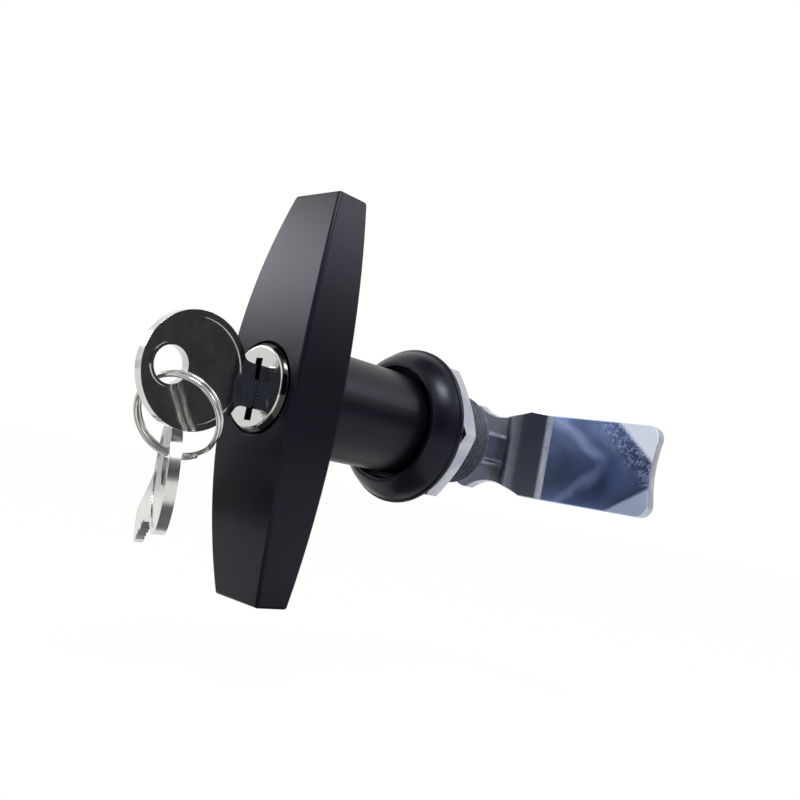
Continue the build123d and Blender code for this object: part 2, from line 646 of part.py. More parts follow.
def make_key():
    """A flat key: bow with a raised rim, hole with a raised rim, grooved and cut blade."""
    blank = key_blank()
    body = extrude(Plane.YZ * (blank - key_cuts()), BLADE_T / 2, both=True)
    web = Pos(KEY_HOLE_AT, 0) * Circle(BOW_R - BOW_RIM) - Circle(KEY_HOLE_R + KEY_HOLE_RIM)
    bow = Pos(KEY_HOLE_AT, 0) * Circle(BOW_R) - Circle(KEY_HOLE_R)
    body += extrude(Plane.YZ * bow, BOW_RIM_T / 2, both=True)
    sunk = extrude(Plane.YZ.offset(BOW_WEB_T / 2) * web, BOW_RIM_T)
    body -= sunk + mirror(sunk, Plane.YZ)
    edge = KEY_HOLE_AT + BOW_R
    top = BLADE_HEIGHT / 2
    groove = block(BLADE_T / 2 - GROOVE_DEPTH, BLADE_T, edge + GROOVE_START, edge + BLADE_LENGTH + OVER,
                   top - GROOVE_HEIGHT, NECK_HEIGHT)
    return body - groove


def biarc(p, t, q, s):
    """Two arcs from p along t to q along s, joined where they share a tangent."""
    v = p - q
    both = t + s
    turn = 2 * (1 - t.dot(s))
    b = v.dot(both)
    if turn < 1e-9:
        d = v.dot(v) / (-4 * v.dot(s))
    else:
        d = abs((b + sqrt(b * b + turn * v.dot(v))) / turn)
    joint = (p + t * d + q - s * d) * 0.5
    return [Edge.make_tangent_arc(p, t, joint), Edge.make_tangent_arc(q, s * -1, joint)]


def ring_point(angle_deg, height):
    """A point of the split ring's wire and the way the wire runs there."""
    n = Vector(*RING_NORMAL).normalized()
    u = Vector(0, 0, 1).cross(n).normalized()
    w = n.cross(u)
    a = radians(angle_deg)
    return ring_centre + (u * cos(a) + w * sin(a)) * RING_R + n * height, w * cos(a) - u * sin(a)


def ring_stations():
    """Angle and height along the wire: one flat turn, a step sideways, a second flat turn."""
    first = RING_END_DEG + RING_JOG_DEG
    turn = 360.0 - RING_JOG_DEG
    stations = [(first + turn * i / RING_ARCS, -RING_PITCH / 2) for i in range(RING_ARCS + 1)]
    return stations + [(first + 360.0 + turn * i / RING_ARCS, RING_PITCH / 2) for i in range(RING_ARCS + 1)]


def make_ring():
    """Split ring, two turns of one wire."""
    nodes = [ring_point(a, h) for a, h in ring_stations()]
    edges = []
    for (p, t), (q, s) in zip(nodes, nodes[1:]):
        edges += biarc(p, t, q, s)
    path = Wire(edges)
    start, way = nodes[0]
    return sweep(Plane(origin=start, z_dir=way) * Circle(RING_WIRE_R), path=path)


def make_spare_key():
    place = Plane(origin=spare_hole, x_dir=SPARE_FACE, z_dir=SPARE_UP)
    return place.location * make_key()


def write(name, shapes):
    group = shapes if isinstance(shapes, list) else [shapes]
    solids = [solid for shape in group for solid in shape.solids()]
    part = Compound(children=solids) if len(solids) > 1 else solids[0]
    part.label = name
    export_step(part, "parts/" + name + ".step")


write("base_housing", make_housing())
write("panel_gasket", make_gasket())
write("mounting_nut", make_nut())
write("handle", make_handle())
write("stop_pin", make_stop_pin())
write("stem_o_ring", make_oring())
write("thrust_washer", make_washer())
write("retaining_ring", make_clip())
write("spindle", make_spindle())
write("spindle_pin", make_cross_pin())
write("cam", make_cam())
write("cam_washer", make_cam_washer())
write("spring_washer", make_spring_washer())
write("cam_bolt", make_cam_bolt())
write("plug_cap", make_cap())
write("plug", make_plug())
write("wafers", make_wafers())
write("wafer_springs", make_wafer_springs())
write("plug_latch", make_latch())
write("plug_latch_spring", make_latch_spring())
write("drive_pin", make_drive_pin())
write("lock_bolt", make_lock_bolt())
write("key", Pos(0, key_hole_y, 0) * make_key())
write("split_ring", make_ring())
write("spare_key", make_spare_key())
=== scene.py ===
"""Looks of a T-handle cabinet lock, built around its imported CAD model."""

import math

import bmesh
import bpy
from mathutils import Matrix, Vector


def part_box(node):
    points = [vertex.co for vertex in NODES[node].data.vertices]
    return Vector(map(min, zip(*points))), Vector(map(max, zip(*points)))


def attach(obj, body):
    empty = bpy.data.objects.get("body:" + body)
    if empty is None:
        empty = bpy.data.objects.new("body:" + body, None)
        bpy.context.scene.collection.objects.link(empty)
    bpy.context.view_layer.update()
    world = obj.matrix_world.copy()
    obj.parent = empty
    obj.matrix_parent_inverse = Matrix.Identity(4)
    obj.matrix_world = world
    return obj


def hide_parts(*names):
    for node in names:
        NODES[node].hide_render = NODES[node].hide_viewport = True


bl_info = {
    "name": "T-handle cabinet lock",
    "version": (1, 0, 0),
    "blender": (4, 5, 0),
    "location": "3D View > Sidebar > Cabinet lock",
    "description": "Dresses the pieces of a T-handle cabinet lock and lights them",
    "category": "Object",
}

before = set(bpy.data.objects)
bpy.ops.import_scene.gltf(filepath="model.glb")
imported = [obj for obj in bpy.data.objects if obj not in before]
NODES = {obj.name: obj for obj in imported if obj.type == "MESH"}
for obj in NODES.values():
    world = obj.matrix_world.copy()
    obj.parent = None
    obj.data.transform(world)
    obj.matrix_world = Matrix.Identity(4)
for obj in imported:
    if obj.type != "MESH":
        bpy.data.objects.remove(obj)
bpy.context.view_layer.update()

MM = 0.001
WELD = 1e-6            # CAD triangles share a corner within this
NEAR = 10 * WELD       # allowance for a corner at a limit
FLAT = math.radians(0.25)      # faces that turn less than this are joined
SHARP = math.radians(32)       # edges that turn more than this are sharp
AXIS = (0, 1, 0)       # the lock's axis
ALONG_AXIS = 0.999     # a face whose normal has this much of the axis lies across it
COOL = (0.76, 0.80, 1.0, 1.0)  # tint of the coat's sheen
WHITE = (1.0, 1.0, 0.985)      # of the surroundings
FLOOR_GLOW = 0.985             # share of the floor that meets the background
FLOOR_Z = -62 * MM
FLOOR_HALF = 3.0               # half its width
SOFT_LIGHT = 0.3               # strength of the surroundings for soft light

# Barrel and its thread, as in the solids
THREAD_R = 11.0 * MM
RELIEF_R = 10.08 * MM
BARREL_END = 17.2 * MM
BARREL_CHAMFER = 0.8 * MM
COUNTERBORE_R = 9.2 * MM
FLANGE_BACK = 13.5 * MM
FLANGE_FRONT = 12.1 * MM
TAIL_BORE_R = 7.1 * MM
HUB_BORE_R = 8.5 * MM
NUT_T = 4.8 * MM

# Plan of the T bar: its sides are arcs about axes along Y, rounded at the back
BAR_HALF_WIDTH = 12.0 * MM
BAR_SIDE_R = 200.88 * MM
BAR_BACK_Y = -33.5 * MM
BAR_BACK_ROUND = 0.8 * MM
BAR_BACK_REACH = 1.03 * BAR_BACK_ROUND   # the rounding's corners lie this near the side
BAR_ROUND_END = 42.4 * MM
BAR_ROUND_CUTS = (12, 26, 40, 54, 70)    # degrees round the rounding

# Bow of the key in the lock
BOW_Y = -62.3 * MM
RIM_OUTSIDE = 11.55 * MM
KEY_BRUSHING = (1.0, 1.0, 0.12)          # stretch of the brushed lines

# Edges are rounded only past these places and outside these radii
BAR_EDGES_Y = -44.5 * MM
BAR_EDGES_R = 9.3 * MM
COLLAR_EDGES_R = 13.5 * MM
NUT_EDGES_R = 12.5 * MM
CAM_EDGES_FROM = 4.0 * MM
SHANK_EDGES_Y = 16.5 * MM
FACE_EDGES_R = 8.3 * MM

# Where the finish and its painted reflections change on the cam, and where the painted shade round the
# lock's face starts, in millimetres
BLADE_FACE_Y = (37.75, 37.45)
BLADE_START_X = (13.6, 14.6)
ARMS_END_X = (33.0, 27.0)
FIRST_BEND_X = 7.4
SECOND_BEND_X = 13.4
FACE_SHADE_Y = (-47.45, -47.3)

# Slanting lines across the blade that bound its painted reflections: x and z of a point on each, and the
# direction across it
UPPER_BORDER = (34.0, 10.1, 0.651, 0.760)
LOWER_BORDER = (37.3, -8.0, 0.536, -0.844)
UPPER_ARM = (16.8, 9.2, 0.475, 0.880)
LOWER_ARM = (20.6, -9.8, 0.677, -0.736)

# Colours that aren't among the user's
PAINTED_REFLECTION_WHITE = (0.70, 0.76, 0.86)               # painted reflection in the blade's light corners
PAINTED_REFLECTION_VIOLET = (0.62, 0.62, 0.92)              # painted reflection in its speckles
BARREL_DARK = (0.10, 0.108, 0.128)
BARREL_LIGHT = (0.16, 0.172, 0.20)
PLUG_GREY = (0.16, 0.17, 0.19)

# Sizes that only the scene has
THREAD_GAP = 0.12 * MM                   # between the nut's thread and the barrel's
GASKET_EDGE = 0.25 * MM
WIRE_EDGE = 0.1 * MM
SMALL_EDGE = 0.6                         # edges of washers and bolt, as a share of the nut's
WAFERS = 5
COIL_STEPS = 20                          # in one turn of a small spring

# Camera that took the picture of the lock, solved from its outlines
CAMERA_AT = (0.150453, -0.157986, -0.014416)
CAMERA_RIGHT = (0.71146, 0.67764, 0.18615)
CAMERA_UP = (-0.06874, -0.19650, 0.97810)
CAMERA_BACK = (0.69936, -0.70867, -0.09322)
CAMERA_LENS = 41.106
CAMERA_SENSOR = 36.0                     # its width; this and the lens in millimetres
CAMERA_CLIP = (0.01, 20.0)               # nearest and farthest that it sees

# Name, place, point that it faces, width, height and power in watts of each soft lamp
LAMPS = (
    ("softbox_front", (-0.49, -0.36, 0.255), (0, -0.02, 0.0), 0.26, 0.18, 1.12),
    ("softbox_back", (0.44, 0.34, 0.44), (0, 0.0, 0.0), 0.30, 0.22, 1.0),
    ("softbox_right", (0.29, -0.22, 0.50), (0, 0.0, 0.0), 0.24, 0.13, 2.3),
)

# Name, place, width, height and colour of each card round the lock
CARDS = (
    ("dark_card_front", (0.43, -0.35, 0.05), 0.42, 0.68, (0.032, 0.038, 0.058)),
    ("grey_card_left", (-0.50, -0.27, -0.085), 0.16, 0.20, (0.60, 0.61, 0.63)),
    ("grey_card_front", (0.20, -0.56, 0.02), 0.20, 0.40, (0.17, 0.19, 0.25)),
    ("dark_card_left", (-0.282, -0.495, 0.04), 0.35, 0.24, (0.075, 0.090, 0.145)),
    ("grey_card_right", (0.55, 0.0, 0.0), 0.34, 0.50, (0.26, 0.27, 0.29)),
    ("dark_card_side", (0.43, 0.33, 0.00), 0.38, 0.36, (0.040, 0.041, 0.047)),
    ("dark_card_rear", (-0.30, 0.48, 0.00), 0.42, 0.34, (0.08, 0.08, 0.09)),
    ("grey_card_rear", (-0.57, 0.18, -0.02), 0.22, 0.22, (0.42, 0.43, 0.46)),
    ("dark_card_above", (-0.10, -0.06, 0.60), 0.44, 0.44, (0.10, 0.11, 0.14)),
    # These two cards stand in for the lock's shadow on the floor below: painted shade that the metal
    # reflects.
    ("grey_shadow_card_below", (-0.045, 0.035, -0.060), 0.045, 0.07, (0.36, 0.37, 0.40)),
    ("dark_shadow_card_below", (0.005, -0.058, -0.060), 0.05, 0.126, (0.16, 0.17, 0.19)),
)


# User values

class LockSizes(bpy.types.PropertyGroup):
    """Sizes of the finish that the CAD model leaves to the looks."""

    handle_edge: bpy.props.FloatProperty(
        name="Handle edges", description="Width of the rounding that the coat leaves on handle and collar",
        default=0.18 * MM, min=0.0, unit="LENGTH")
    plate_edge: bpy.props.FloatProperty(
        name="Plate edges", description="Width of the rounding on the stamped cam plate",
        default=0.22 * MM, min=0.0, unit="LENGTH")
    nut_edge: bpy.props.FloatProperty(
        name="Nut edges", description="Width of the rounding on nut and shank, and less on bolt and washers",
        default=0.16 * MM, min=0.0, unit="LENGTH")
    key_edge: bpy.props.FloatProperty(
        name="Key edges", description="Width of the rounding on the keys and the lock's face",
        default=0.24 * MM, min=0.0, unit="LENGTH")
    rim_edge: bpy.props.FloatProperty(
        name="Key rim", description="Width of the rounding outside the raised rim of the key in the lock",
        default=0.45 * MM, min=0.0, unit="LENGTH")
    thread_pitch: bpy.props.FloatProperty(
        name="Thread pitch", description="Pitch of the thread on the barrel",
        default=1.5 * MM, min=0.2 * MM, unit="LENGTH")
    thread_steps: bpy.props.IntProperty(
        name="Thread steps", description="Faces in one turn of the thread", default=96, min=12)
    spring_wire: bpy.props.FloatProperty(
        name="Spring wire", description="Radius of the wire of the small springs",
        default=0.1 * MM, min=0.02 * MM, unit="LENGTH")


class LockColours(bpy.types.PropertyGroup):
    """Colours of the finishes, as linear values."""

    coat: bpy.props.FloatVectorProperty(
        name="Powder coat", description="Colour of the coating on the handle and the collar",
        subtype="COLOR", default=(0.0034, 0.0036, 0.0068))
    zinc: bpy.props.FloatVectorProperty(
        name="Zinc", description="Colour of the clear zinc plating",
        subtype="COLOR", default=(0.47, 0.49, 0.53))
    zinc_tint: bpy.props.FloatVectorProperty(
        name="Zinc tint", description="Bluish tint where the plating is thicker",
        subtype="COLOR", default=(0.35, 0.38, 0.46))
    # Blue of blue zinc plating, made stronger as a painted reflection of the bluish surroundings on the
    # blade.
    zinc_blue_and_reflection: bpy.props.FloatVectorProperty(
        name="Blue plating", description="Blue of the plating on the cam's flat blade",
        subtype="COLOR", default=(0.33, 0.47, 0.90))
    nickel: bpy.props.FloatVectorProperty(
        name="Nickel", description="Colour of the keys, their ring and the lock's face",
        subtype="COLOR", default=(0.70, 0.69, 0.67))
    rubber: bpy.props.FloatVectorProperty(
        name="Rubber", description="Colour of the gasket and the seal",
        subtype="COLOR", default=(0.008, 0.008, 0.009))
    brass: bpy.props.FloatVectorProperty(
        name="Brass", description="Colour of the wafers and the latch",
        subtype="COLOR", default=(0.66, 0.47, 0.19))
    steel: bpy.props.FloatVectorProperty(
        name="Steel", description="Colour of pins, springs, the split washer and the snap ring",
        subtype="COLOR", default=(0.42, 0.42, 0.44))
    floor: bpy.props.FloatVectorProperty(
        name="Floor", description="Colour of the floor", subtype="COLOR", default=(0.94, 0.94, 0.93))


# Materials

class Value:
    """A number that varies over a surface. Used in an expression, it adds the Math nodes."""

    def __init__(self, nodes, socket):
        self.nodes = nodes
        self.socket = socket

    def math(self, operation, *others):
        return self.nodes.node("ShaderNodeMath", {"operation": operation}, dict(enumerate(others)))

    def __add__(self, other):
        return self.math("ADD", self, other)

    def __radd__(self, other):
        return self.math("ADD", other, self)

    def __sub__(self, other):
        return self.math("SUBTRACT", self, other)

    def __rsub__(self, other):
        return self.math("SUBTRACT", other, self)

    def __mul__(self, other):
        return self.math("MULTIPLY", self, other)

    def __rmul__(self, other):
        return self.math("MULTIPLY", other, self)

    def __abs__(self):
        return self.math("ABSOLUTE", self)

    def ramp(self, low, high, to_low=0.0, to_high=1.0):
        """Maps low..high smoothly to to_low..to_high, and holds outside."""
        return self.nodes.node(
            "ShaderNodeMapRange", {"interpolation_type": "SMOOTHSTEP"},
            {"Value": self, "From Min": low, "From Max": high, "To Min": to_low, "To Max": to_high})


class Nodes:
    """A node tree, and one method that adds any node to it."""

    def __init__(self, tree):
        self.tree = tree

    def node(self, kind, settings, inputs, output=0):
        """Adds a node with its settings, and the values or links of its sockets."""
        made = self.tree.nodes.new(kind)
        for name, value in settings.items():
            setattr(made, name, value)
        for name, value in inputs.items():
            self.feed(made.inputs[name], value)
        return Value(self, made.outputs[output])

    def feed(self, socket, value):
        if isinstance(value, Value):
            self.tree.links.new(value.socket, socket)
        else:
            socket.default_value = value


class Finish(Nodes):
    """A material with one Principled shader that varies over the piece."""

    def __init__(self, name, **constants):
        self.material = bpy.data.materials.new(name)
        self.material.use_nodes = True
        super().__init__(self.material.node_tree)
        self.shader = self.tree.nodes["Principled BSDF"]
        for socket, value in constants.items():
            self.shader.inputs[socket.replace("_", " ")].default_value = value
        metres = self.node("ShaderNodeTexCoord", {}, {}, output="Object")
        self.at = self.node("ShaderNodeVectorMath", {"operation": "MULTIPLY"}, {0: metres, 1: (1 / MM,) * 3})

    def set(self, socket, value):
        self.feed(self.shader.inputs[socket], value)

    def noise(self, scale, detail=2.0, stretch=(1, 1, 1), roughness=0.5, distortion=0.0):
        """Noise with about scale features in a millimetre, stretched along the axes."""
        place = self.node("ShaderNodeMapping", {}, {"Vector": self.at, "Scale": stretch})
        return self.node("ShaderNodeTexNoise", {}, {
            "Vector": place, "Scale": scale, "Detail": detail, "Roughness": roughness,
            "Distortion": distortion})

    def along(self, direction):
        """Millimetres along a direction of the object."""
        return self.node("ShaderNodeVectorMath", {"operation": "DOT_PRODUCT"},
                         {0: self.at, 1: direction}, output="Value")

    def mix(self, share, first, second):
        """The first colour, with a share of the second."""
        return self.node("ShaderNodeMix", {"data_type": "RGBA"}, {
            "Factor": share, 6: rgba(first), 7: rgba(second)}, output=2)

    def bump(self, height_mm):
        """The surface raised by so many millimetres."""
        return self.node("ShaderNodeBump", {}, {"Height": height_mm, "Distance": MM, "Strength": 1.0})


def rgba(colour):
    """A colour as a socket takes it."""
    return colour if isinstance(colour, Value) else (*colour, 1.0)


def scaled(colour, share):
    """A colour made darker or lighter."""
    return tuple(c * share for c in colour)


def powder_coat(colours):
    """Satin powder coat: fine orange peel, a slow drift of sheen, and faint specks."""
    f = Finish("powder_coat_black", Specular_IOR_Level=0.22, Specular_Tint=COOL)
    peel = f.noise(2.2, 2.0)
    grain = f.noise(9.0, 1.0)
    drift = f.noise(0.05, 2.0)
    f.set("Base Color", f.mix(grain.ramp(0.35, 0.8), scaled(colours.coat, 0.85), scaled(colours.coat, 1.35)))
    f.set("Roughness", 0.29 + 0.06 * drift + 0.08 * grain)
    f.set("Normal", f.bump(0.004 * peel + 0.0012 * grain))
    return f.material


def coated_collar(colours):
    """The same coat on the turned collar, a little glossier."""
    f = Finish("powder_coat_collar", Specular_IOR_Level=0.28, Specular_Tint=COOL)
    peel = f.noise(1.8, 2.0)
    grain = f.noise(9.0, 1.0)
    f.set("Base Color", f.mix(grain.ramp(0.35, 0.8), scaled(colours.coat, 0.8), scaled(colours.coat, 1.4)))
    f.set("Roughness", 0.26 + 0.1 * grain)
    f.set("Normal", f.bump(0.003 * peel + 0.001 * grain))
    return f.material


def bare_thread():
    """Die-cast barrel: dull blasted zinc alloy with faint streaks."""
    f = Finish("barrel_zinc_alloy", Metallic=1.0)
    cast = f.noise(1.4, 3.0)
    fine = f.noise(7.0, 2.0)
    f.set("Base Color", f.mix(cast.ramp(0.3, 0.7), BARREL_DARK, BARREL_LIGHT))
    f.set("Roughness", 0.58 + 0.16 * fine)
    f.set("Normal", f.bump(0.003 * cast + 0.001 * fine))
    return f.material


def zinc_plate(colours, name="zinc_plate", rough=0.13, grain_mm=0.0009):
    """Bright zinc over rolled steel: bluish, with clouds of tint and a fine peel."""
    f = Finish(name, Metallic=1.0)
    clouds = f.noise(0.16, 3.0, distortion=0.6)
    peel = f.noise(1.3, 3.0)
    fine = f.noise(8.0, 2.0)
    f.set("Base Color", f.mix(clouds.ramp(0.38, 0.66), colours.zinc, colours.zinc_tint))
    f.set("Roughness", rough + 0.08 * clouds + 0.08 * fine)
    f.set("Normal", f.bump(grain_mm * peel + 0.4 * grain_mm * fine))
    return f.material


def past_line(x, z, line):
    """Millimetres past a slanting line across the blade."""
    line_x, line_z, across_x, across_z = line
    return across_x * (x - line_x) + across_z * (z - line_z)


def cam_plate_finish(colours):
    """The cam: thin blue plating, its blue partly a painted reflection, stretched and grainy along its
    bends; its light corners, arms, speckles and the line on its second bend are painted reflections.
    """
    f = Finish("zinc_plate_cam", Metallic=1.0)
    x, z = f.along((1, 0, 0)), f.along((0, 0, 1))
    clouds = f.noise(0.11, 3.0, distortion=1.2)
    peel = f.noise(1.1, 3.0, stretch=(1.0, 1.0, 0.6))
    fine = f.noise(6.0, 2.0)
    speckle = f.noise(1.7, 3.0, roughness=0.75)
    wander = 5.0 * (f.noise(0.2, 3.0) - 0.5)
    grain = 1.6 * (f.noise(3.0, 3.0) - 0.5)
    on_face = f.along(AXIS).ramp(*BLADE_FACE_Y)
    upper = past_line(x, z, UPPER_BORDER)
    upper_corner_reflection = (upper + grain).ramp(-0.6, 0.8) * on_face
    lower_corner_reflection = (past_line(x, z, LOWER_BORDER) + 0.4 * grain).ramp(-0.5, 0.5) * on_face
    arms_end = x.ramp(*ARMS_END_X)
    upper_arm_reflection = abs(past_line(x, z, UPPER_ARM) + wander).ramp(2.6, 0.0) * arms_end
    lower_arm_reflection = abs(past_line(x, z, LOWER_ARM) + wander).ramp(2.4, 0.0) * arms_end
    blade = x.ramp(*BLADE_START_X)
    first_bend = abs(x - FIRST_BEND_X).ramp(1.6, 0.2)
    second_bend = abs(x - SECOND_BEND_X).ramp(1.0, 0.1)
    reflection_spots = speckle.ramp(0.47, 0.64) * abs(upper + 2.0).ramp(6.0, 0.5) * x.ramp(18.0, 30.0) * on_face
    open_reflection_spots = reflection_spots * (1.0 - upper_corner_reflection)
    # Painted reflection: the light corners, arms, speckles and the line on the second bend are milky white
    # with less metal, in place of what the plating reflects.
    painted_reflection = blade * (0.94 * upper_corner_reflection + 0.5 * lower_corner_reflection + 0.2 * upper_arm_reflection + 0.15 * lower_arm_reflection
                    + 0.07 * x.ramp(28.0, 14.0) + 0.36 * open_reflection_spots)
    painted_reflection = painted_reflection + 0.4 * second_bend * speckle.ramp(0.35, 0.6)
    plating = f.mix(clouds.ramp(0.36, 0.64), colours.zinc, colours.zinc_tint)
    # The blade's blue is partly the plating's tint and partly a painted reflection.
    plating = f.mix(0.9 * blade * on_face, plating, colours.zinc_blue_and_reflection)
    f.set("Base Color", f.mix(painted_reflection, plating, f.mix(open_reflection_spots, PAINTED_REFLECTION_WHITE, PAINTED_REFLECTION_VIOLET)))
    f.set("Metallic", 1.0 - painted_reflection)
    f.set("Roughness", 0.12 + 0.1 * clouds + 0.06 * fine + 0.2 * second_bend + 0.1 * first_bend + 0.2 * painted_reflection)
    f.set("Normal", f.bump((0.0012 + 0.006 * second_bend + 0.002 * first_bend) * peel + 0.0006 * fine))
    return f.material


def nickel_key(colours, name, rough):
    """Polished nickel on a stamped key, brushed lightly across the bow."""
    f = Finish(name, Metallic=1.0)
    lines = f.noise(3.0, 2.0, stretch=KEY_BRUSHING)
    wear = f.noise(0.25, 2.0)
    fine = f.noise(7.0, 2.0)
    f.set("Base Color", f.mix(wear.ramp(0.35, 0.7), colours.nickel, scaled(colours.nickel, 0.8)))
    f.set("Roughness", rough + 0.08 * lines + 0.03 * fine)
    f.set("Normal", f.bump(0.001 * lines + 0.0004 * fine))
    return f.material


def nickel_wire(colours):
    """Bright nickel on drawn spring wire."""
    f = Finish("nickel_wire", Metallic=1.0)
    fine = f.noise(6.0, 2.0)
    dull = f.noise(0.5, 2.0)
    bright, dim = scaled(colours.nickel, 0.86), scaled(colours.nickel, 0.66)
    f.set("Base Color", f.mix(dull.ramp(0.4, 0.75), bright, dim))
    f.set("Roughness", 0.1 + 0.1 * dull + 0.04 * fine)
    f.set("Normal", f.bump(0.0008 * fine))
    return f.material


def nickel_face(colours):
    """The lock's face: pressed mirror nickel with a fine grain, and painted shade, near black, on its bevel
    and side wall where the recess round it lies in shadow.
    """
    f = Finish("nickel_face", Metallic=1.0)
    grain = f.noise(5.0, 3.0)
    soft = f.noise(0.5, 2.0)
    painted_bevel_shade = f.along(AXIS).ramp(*FACE_SHADE_Y)
    face = f.mix(grain.ramp(0.4, 0.75), scaled(colours.nickel, 0.95), scaled(colours.nickel, 0.72))
    # Painted shade: the bevel and side wall are near black, standing in for the dark gap round the face.
    f.set("Base Color", f.mix(painted_bevel_shade, face, scaled(colours.nickel, 0.07)))
    f.set("Roughness", 0.06 + 0.08 * grain)
    f.set("Normal", f.bump(0.0009 * grain + 0.002 * soft))
    return f.material


def rubber(colours):
    """Black rubber, dull with dust."""
    f = Finish("rubber_black", Specular_IOR_Level=0.3)
    dust = f.noise(4.0, 3.0)
    f.set("Base Color", f.mix(dust.ramp(0.4, 0.8), colours.rubber, scaled(colours.rubber, 2.0)))
    f.set("Roughness", 0.6 + 0.25 * dust)
    f.set("Normal", f.bump(0.006 * dust))
    return f.material


def plain_metal(name, colour, rough, stretch=(1, 1, 1)):
    """Turned or stamped metal with fine tool marks."""
    f = Finish(name, Metallic=1.0)
    marks = f.noise(5.0, 2.0, stretch=stretch)
    tone = f.noise(0.4, 2.0)
    f.set("Base Color", f.mix(tone.ramp(0.35, 0.7), colour, scaled(colour, 0.8)))
    f.set("Roughness", rough + 0.12 * marks)
    f.set("Normal", f.bump(0.0015 * marks))
    return f.material


# Modelling

def cad_copy(node):
    """A CAD node's mesh with its loose triangles merged and its flat faces joined."""
    bm = bmesh.new()
    bm.from_mesh(NODES[node].data)
    bmesh.ops.remove_doubles(bm, verts=bm.verts, dist=WELD)
    bmesh.ops.dissolve_limit(bm, angle_limit=FLAT, use_dissolve_boundaries=False,
                             verts=bm.verts, edges=bm.edges, delimit=set())
    return bm


def radius_of(point):
    """Distance from the lock's axis."""
    return math.hypot(point.x, point.z)


def soften(bm, width, where=lambda point: True, segments=2):
    """Rounds the sharp outer edges that lie in a place."""
    edges = [e for e in bm.edges
             if e.is_manifold and e.is_convex and e.calc_face_angle(0.0) > SHARP
             and all(where(v.co) for v in e.verts)]
    if not edges:
        raise RuntimeError("no edge to soften was found")
    bmesh.ops.bevel(bm, geom=edges, offset=width, offset_type="OFFSET", segments=segments,
                    profile=0.5, affect="EDGES", clamp_overlap=True, material=-1)


def spun(bm, outline, steps):
    """Turns an outline of (radius, y) points a full turn about the lock's axis."""
    verts = [bm.verts.new((r, y, 0)) for r, y in outline]
    edges = [bm.edges.new(pair) for pair in zip(verts, verts[1:])]
    bmesh.ops.spin(bm, geom=verts + edges, cent=(0, 0, 0), axis=AXIS, angle=2 * math.pi,
                   steps=steps, use_merge=True)


def screw_surface(bm, crest_r, root_r, pitch, low, high, steps):
    """The outside of a right-hand thread between two heights on the lock's axis."""
    flat = pitch / 8
    flank = (pitch - 2 * flat) / 2
    start = low - 2 * pitch
    outline = [(root_r, 0), (crest_r, flank), (crest_r, flank + flat), (root_r, 2 * flank + flat),
               (root_r, pitch)]
    verts = [bm.verts.new((r, start + y, 0)) for r, y in outline]
    edges = [bm.edges.new(pair) for pair in zip(verts, verts[1:])]
    turns = math.ceil((high - low) / pitch) + 3
    bmesh.ops.spin(bm, geom=verts + edges, cent=(0, 0, 0), axis=AXIS, dvec=(0, pitch / steps, 0),
                   angle=2 * math.pi * turns, steps=steps * turns, use_merge=False)
    bmesh.ops.remove_doubles(bm, verts=bm.verts, dist=WELD)
    for height, way in ((low, -1), (high, 1)):
        geometry = bm.verts[:] + bm.edges[:] + bm.faces[:]
        bmesh.ops.bisect_plane(bm, geom=geometry, dist=WELD, plane_co=(0, height, 0),
                               plane_no=(0, way, 0), clear_outer=True)


def close_ends(bm, *heights):
    """Fills the flat rings between the open loops at each height."""
    for height in heights:
        loop = [e for e in bm.edges if e.is_boundary and all(abs(v.co.y - height) < WELD for v in e.verts)]
        bmesh.ops.triangle_fill(bm, use_beauty=True, use_dissolve=False, edges=loop, normal=AXIS)
    bmesh.ops.recalc_face_normals(bm, faces=bm.faces)


def add_mesh(bm, other):
    """Puts another bmesh's faces into this one."""
    passing = bpy.data.meshes.new("passing")
    other.to_mesh(passing)
    other.free()
    bm.from_mesh(passing)
    bpy.data.meshes.remove(passing)


def wind(bm, centre, radius, low, high, turns, wire):
    """A coil of round wire that stands along Z."""
    place = Matrix.Translation((centre[0] + radius, centre[1], low))
    section = bmesh.ops.create_circle(bm, cap_ends=False, segments=8, radius=wire,
                                      matrix=place @ Matrix.Rotation(math.pi / 2, 4, "X"))
    first = section["verts"]
    edges = list({e for v in first for e in v.link_edges})
    bm.faces.new(first)
    result = bmesh.ops.spin(bm, geom=first + edges, cent=(centre[0], centre[1], 0), axis=(0, 0, 1),
                            dvec=(0, 0, (high - low) / (COIL_STEPS * turns)), angle=2 * math.pi * turns,
                            steps=COIL_STEPS * turns, use_merge=False)
    last = [g for g in result["geom_last"] if isinstance(g, bmesh.types.BMVert)]
    bmesh.ops.contextual_create(bm, geom=last)
    bmesh.ops.recalc_face_normals(bm, faces=bm.faces)


def on_rim(point):
    """Tells the outer edge of the bow of the key in the lock, away from its neck."""
    return math.hypot(point.y - BOW_Y, point.z) > RIM_OUTSIDE and point.y < BOW_Y + RIM_OUTSIDE / 2


